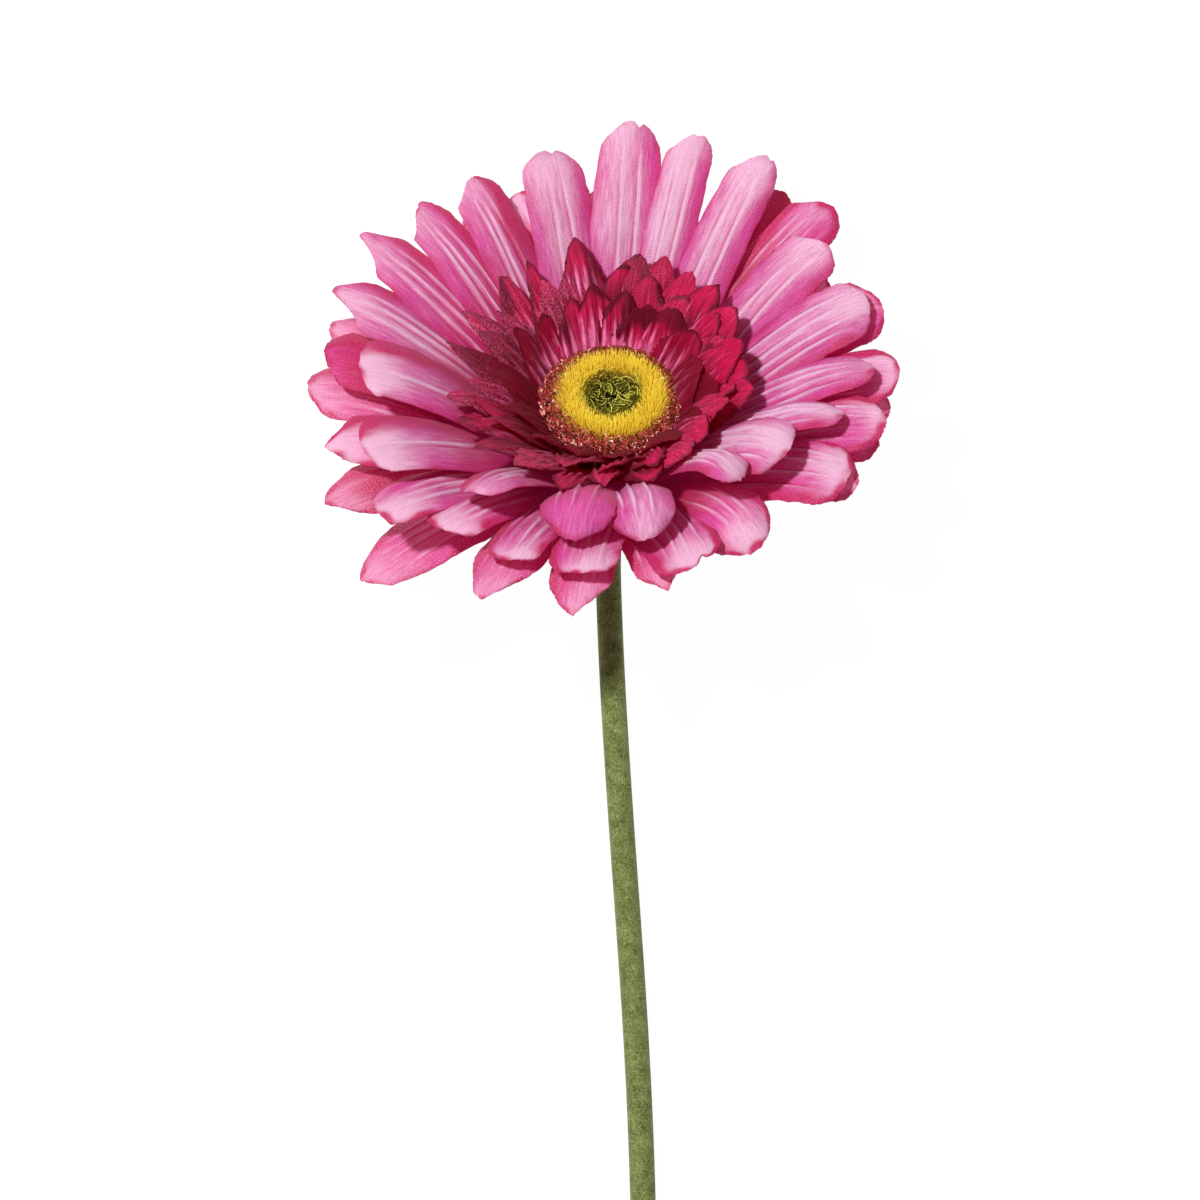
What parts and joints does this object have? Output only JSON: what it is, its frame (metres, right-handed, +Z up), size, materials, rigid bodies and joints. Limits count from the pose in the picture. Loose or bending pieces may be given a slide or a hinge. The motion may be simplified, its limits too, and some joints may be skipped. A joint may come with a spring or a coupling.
{
  "type": "artificial gerbera stem",
  "caption": "Cut gerbera made of cloth: pink rays in layers, dark toothed frills, yellow bristle disc and a green flocked stem, lying on its side.",
  "frame": {"origin": "middle of the whole flower's footprint, on the surface it lies on", "axes": "+Y along the stem from its cut end to the head, +Z up from the surface, so the face looks up and away towards +Y"},
  "size_m": [0.1192, 0.4596, 0.0707],
  "materials": {
    "ray_cloth": "satin weave",
    "frill_cloth": "satin weave",
    "yellow_bristle": "matte fibres",
    "green_fibre": "matte fibres",
    "red_crumb": "matte",
    "disc_plastic": "matte",
    "flocked_green": "flocked",
    "wire_steel": "drawn"
  },
  "bodies": {
    "root": {"upper_petal_01": "ray_cloth", "upper_petal_02": "ray_cloth", "upper_petal_03": "ray_cloth", "upper_petal_04": "ray_cloth", "upper_petal_05": "ray_cloth", "upper_petal_06": "ray_cloth", "upper_petal_07": "ray_cloth", "upper_petal_08": "ray_cloth", "upper_petal_09": "ray_cloth", "upper_petal_10": "ray_cloth", "upper_petal_11": "ray_cloth", "upper_petal_12": "ray_cloth", "upper_petal_13": "ray_cloth", "upper_petal_14": "ray_cloth", "upper_petal_15": "ray_cloth", "upper_petal_16": "ray_cloth", "upper_petal_17": "ray_cloth", "upper_petal_18": "ray_cloth", "upper_petal_19": "ray_cloth", "middle_petal_01": "ray_cloth", "middle_petal_02": "ray_cloth", "middle_petal_03": "ray_cloth", "middle_petal_04": "ray_cloth", "middle_petal_05": "ray_cloth", "middle_petal_06": "ray_cloth", "middle_petal_07": "ray_cloth", "middle_petal_08": "ray_cloth", "middle_petal_09": "ray_cloth", "middle_petal_10": "ray_cloth", "middle_petal_11": "ray_cloth", "middle_petal_12": "ray_cloth", "middle_petal_13": "ray_cloth", "middle_petal_14": "ray_cloth", "middle_petal_15": "ray_cloth", "middle_petal_16": "ray_cloth", "middle_petal_17": "ray_cloth", "lower_petal_01": "ray_cloth", "lower_petal_02": "ray_cloth", "lower_petal_03": "ray_cloth", "lower_petal_04": "ray_cloth", "lower_petal_05": "ray_cloth", "lower_petal_06": "ray_cloth", "lower_petal_07": "ray_cloth", "lower_petal_08": "ray_cloth", "lower_petal_09": "ray_cloth", "lower_petal_10": "ray_cloth", "lower_petal_11": "ray_cloth", "lower_petal_12": "ray_cloth", "lower_petal_13": "ray_cloth", "frill_outer": "frill_cloth", "frill_middle": "frill_cloth", "frill_inner": "frill_cloth", "disc_base": "disc_plastic", "bristle_ring": "yellow_bristle", "crumb_ring": "red_crumb", "centre_tuft": "green_fibre", "calyx_cup": "flocked_green", "stem_sheath": "flocked_green", "stem_wire": "wire_steel"}
  },
  "joints": []
}
